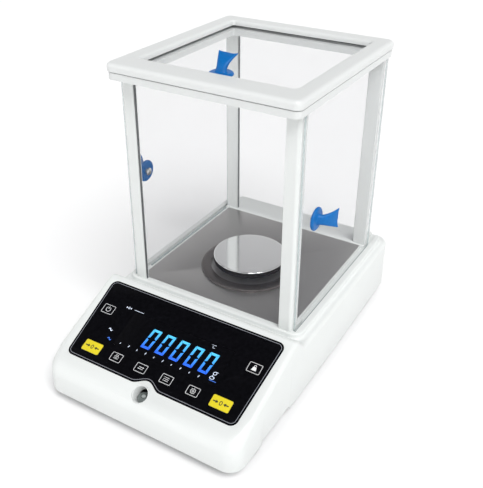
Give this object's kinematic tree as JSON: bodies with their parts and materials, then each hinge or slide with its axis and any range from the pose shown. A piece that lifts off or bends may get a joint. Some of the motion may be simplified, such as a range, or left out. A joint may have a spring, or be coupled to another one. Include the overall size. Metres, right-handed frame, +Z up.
{
  "type": "analytical balance",
  "caption": "Analytical balance with a sloped touch panel, a level window and a glass weighing chamber whose side and top doors slide back.",
  "frame": {"origin": "on the table under the middle of the whole balance", "axes": "+Z up, the control panel faces -Y, +X is the right-hand side seen from the front"},
  "size_m": [0.2296, 0.36, 0.3279],
  "materials": {
    "housing_white": "satin moulded",
    "frame_white": "satin moulded",
    "panel_black": "gloss",
    "key_dark": "gloss",
    "key_yellow": "satin",
    "display_glass": "gloss",
    "display_cell": "gloss",
    "clear_glass": "polished",
    "handle_blue": "satin",
    "stainless": "brushed",
    "pan_steel": "brushed",
    "bright_steel": "polished",
    "cast_alloy": "as cast",
    "dark_steel": "blackened",
    "copper": "enamelled wire",
    "circuit_board": "solder mask",
    "cable_grey": "ribbon",
    "black_plastic": "textured",
    "rubber": "matte",
    "vial_clear": "polished"
  },
  "bodies": {
    "housing": {"upper_housing": "housing_white", "base_tray": "cast_alloy", "control_panel": "panel_black", "display_window": "display_glass", "display_module": "display_cell", "display_board": "circuit_board", "level_bezel": "housing_white", "level_vial": "vial_clear", "front_left_post": "frame_white", "front_right_post": "frame_white", "rear_left_post": "frame_white", "rear_right_post": "frame_white", "front_glass": "clear_glass", "rear_glass": "clear_glass", "lower_top_frame": "frame_white", "top_cover": "frame_white", "floor_plate": "stainless", "cell_frame": "cast_alloy", "cell_magnet": "dark_steel", "cell_coil": "copper", "cell_beam": "cast_alloy", "weighing_spindle": "bright_steel", "position_sensor": "black_plastic", "cell_shield": "stainless", "main_board": "circuit_board", "ribbon_cable": "cable_grey", "dc_inlet": "black_plastic", "serial_port": "stainless", "usb_port": "stainless", "housing_screws": "dark_steel", "post_screws": "dark_steel", "hook_cover": "frame_white"},
    "key_power": {"key_power": "key_dark"},
    "key_calibrate": {"key_calibrate": "key_dark"},
    "key_tare_left": {"key_tare_left": "key_yellow"},
    "key_print": {"key_print": "key_dark"},
    "key_unit": {"key_unit": "key_dark"},
    "key_mode": {"key_mode": "key_dark"},
    "key_setup": {"key_setup": "key_dark"},
    "key_tare_right": {"key_tare_right": "key_yellow"},
    "front_left_pad": {"front_left_pad": "rubber"},
    "front_left_foot": {"front_left_foot": "black_plastic"},
    "front_right_pad": {"front_right_pad": "rubber"},
    "front_right_foot": {"front_right_foot": "black_plastic"},
    "rear_left_pad": {"rear_left_pad": "rubber"},
    "rear_left_foot": {"rear_left_foot": "black_plastic"},
    "rear_right_pad": {"rear_right_pad": "rubber"},
    "rear_right_foot": {"rear_right_foot": "black_plastic"},
    "left_door": {"left_door_glass": "clear_glass", "left_handle": "handle_blue", "left_handle_screw": "bright_steel"},
    "right_door": {"right_door_glass": "clear_glass", "right_handle": "handle_blue", "right_handle_screw": "bright_steel"},
    "top_door": {"top_door_glass": "clear_glass", "top_handle": "handle_blue", "top_handle_screw": "bright_steel"},
    "draft_ring": {"draft_ring": "stainless"},
    "pan_support": {"pan_support": "bright_steel"},
    "weighing_pan": {"weighing_pan": "pan_steel"}
  },
  "joints": [
    {"name": "key_power_press", "type": "slide", "parent": "housing", "child": "key_power", "axis": [0, 0.3714, -0.9285], "range_m": [0, 0.00035], "stiffness_N_per_m": 500},
    {"name": "key_calibrate_press", "type": "slide", "parent": "housing", "child": "key_calibrate", "axis": [0, 0.3714, -0.9285], "range_m": [0, 0.00035], "stiffness_N_per_m": 500},
    {"name": "key_tare_left_press", "type": "slide", "parent": "housing", "child": "key_tare_left", "axis": [0, 0.3714, -0.9285], "range_m": [0, 0.00035], "stiffness_N_per_m": 500},
    {"name": "key_print_press", "type": "slide", "parent": "housing", "child": "key_print", "axis": [0, 0.3714, -0.9285], "range_m": [0, 0.00035], "stiffness_N_per_m": 500},
    {"name": "key_unit_press", "type": "slide", "parent": "housing", "child": "key_unit", "axis": [0, 0.3714, -0.9285], "range_m": [0, 0.00035], "stiffness_N_per_m": 500},
    {"name": "key_mode_press", "type": "slide", "parent": "housing", "child": "key_mode", "axis": [0, 0.3714, -0.9285], "range_m": [0, 0.00035], "stiffness_N_per_m": 500},
    {"name": "key_setup_press", "type": "slide", "parent": "housing", "child": "key_setup", "axis": [0, 0.3714, -0.9285], "range_m": [0, 0.00035], "stiffness_N_per_m": 500},
    {"name": "key_tare_right_press", "type": "slide", "parent": "housing", "child": "key_tare_right", "axis": [0, 0.3714, -0.9285], "range_m": [0, 0.00035], "stiffness_N_per_m": 500},
    {"name": "front_left_foot_extend", "type": "slide", "parent": "housing", "child": "front_left_pad", "axis": [0, 0, -1], "range_m": [0, 0.004]},
    {"name": "front_left_foot_turn", "type": "hinge", "parent": "front_left_pad", "child": "front_left_foot", "pos_m": [-0.088, -0.156, 0.0083], "axis": [0, 0, -1], "range_deg": [0, 1080]},
    {"name": "front_right_foot_extend", "type": "slide", "parent": "housing", "child": "front_right_pad", "axis": [0, 0, -1], "range_m": [0, 0.004]},
    {"name": "front_right_foot_turn", "type": "hinge", "parent": "front_right_pad", "child": "front_right_foot", "pos_m": [0.088, -0.156, 0.0083], "axis": [0, 0, -1], "range_deg": [0, 1080]},
    {"name": "rear_left_foot_extend", "type": "slide", "parent": "housing", "child": "rear_left_pad", "axis": [0, 0, -1], "range_m": [0, 0.004]},
    {"name": "rear_left_foot_turn", "type": "hinge", "parent": "rear_left_pad", "child": "rear_left_foot", "pos_m": [-0.088, 0.156, 0.0083], "axis": [0, 0, -1], "range_deg": [0, 1080]},
    {"name": "rear_right_foot_extend", "type": "slide", "parent": "housing", "child": "rear_right_pad", "axis": [0, 0, -1], "range_m": [0, 0.004]},
    {"name": "rear_right_foot_turn", "type": "hinge", "parent": "rear_right_pad", "child": "rear_right_foot", "pos_m": [0.088, 0.156, 0.0083], "axis": [0, 0, -1], "range_deg": [0, 1080]},
    {"name": "left_door_slide", "type": "slide", "parent": "housing", "child": "left_door", "axis": [0, 1, 0], "range_m": [0, 0.15]},
    {"name": "right_door_slide", "type": "slide", "parent": "housing", "child": "right_door", "axis": [0, 1, 0], "range_m": [0, 0.15]},
    {"name": "top_door_slide", "type": "slide", "parent": "housing", "child": "top_door", "axis": [0, 1, 0], "range_m": [0, 0.14]},
    {"name": "pan_support_lift", "type": "slide", "parent": "housing", "child": "pan_support", "axis": [0, 0, 1], "range_m": [0, 0.03]},
    {"name": "pan_lift", "type": "slide", "parent": "pan_support", "child": "weighing_pan", "axis": [0, 0, 1], "range_m": [0, 0.06]},
    {"name": "draft_ring_lift", "type": "slide", "parent": "housing", "child": "draft_ring", "axis": [0, 0, 1], "range_m": [0, 0.03]}
  ],
  "couplings": [
    {"joint": "front_left_foot_extend", "follows": "front_left_foot_turn", "m_per_rad": 0.00019894},
    {"joint": "front_right_foot_extend", "follows": "front_right_foot_turn", "m_per_rad": 0.00019894},
    {"joint": "rear_left_foot_extend", "follows": "rear_left_foot_turn", "m_per_rad": 0.00019894},
    {"joint": "rear_right_foot_extend", "follows": "rear_right_foot_turn", "m_per_rad": 0.00019894}
  ]
}
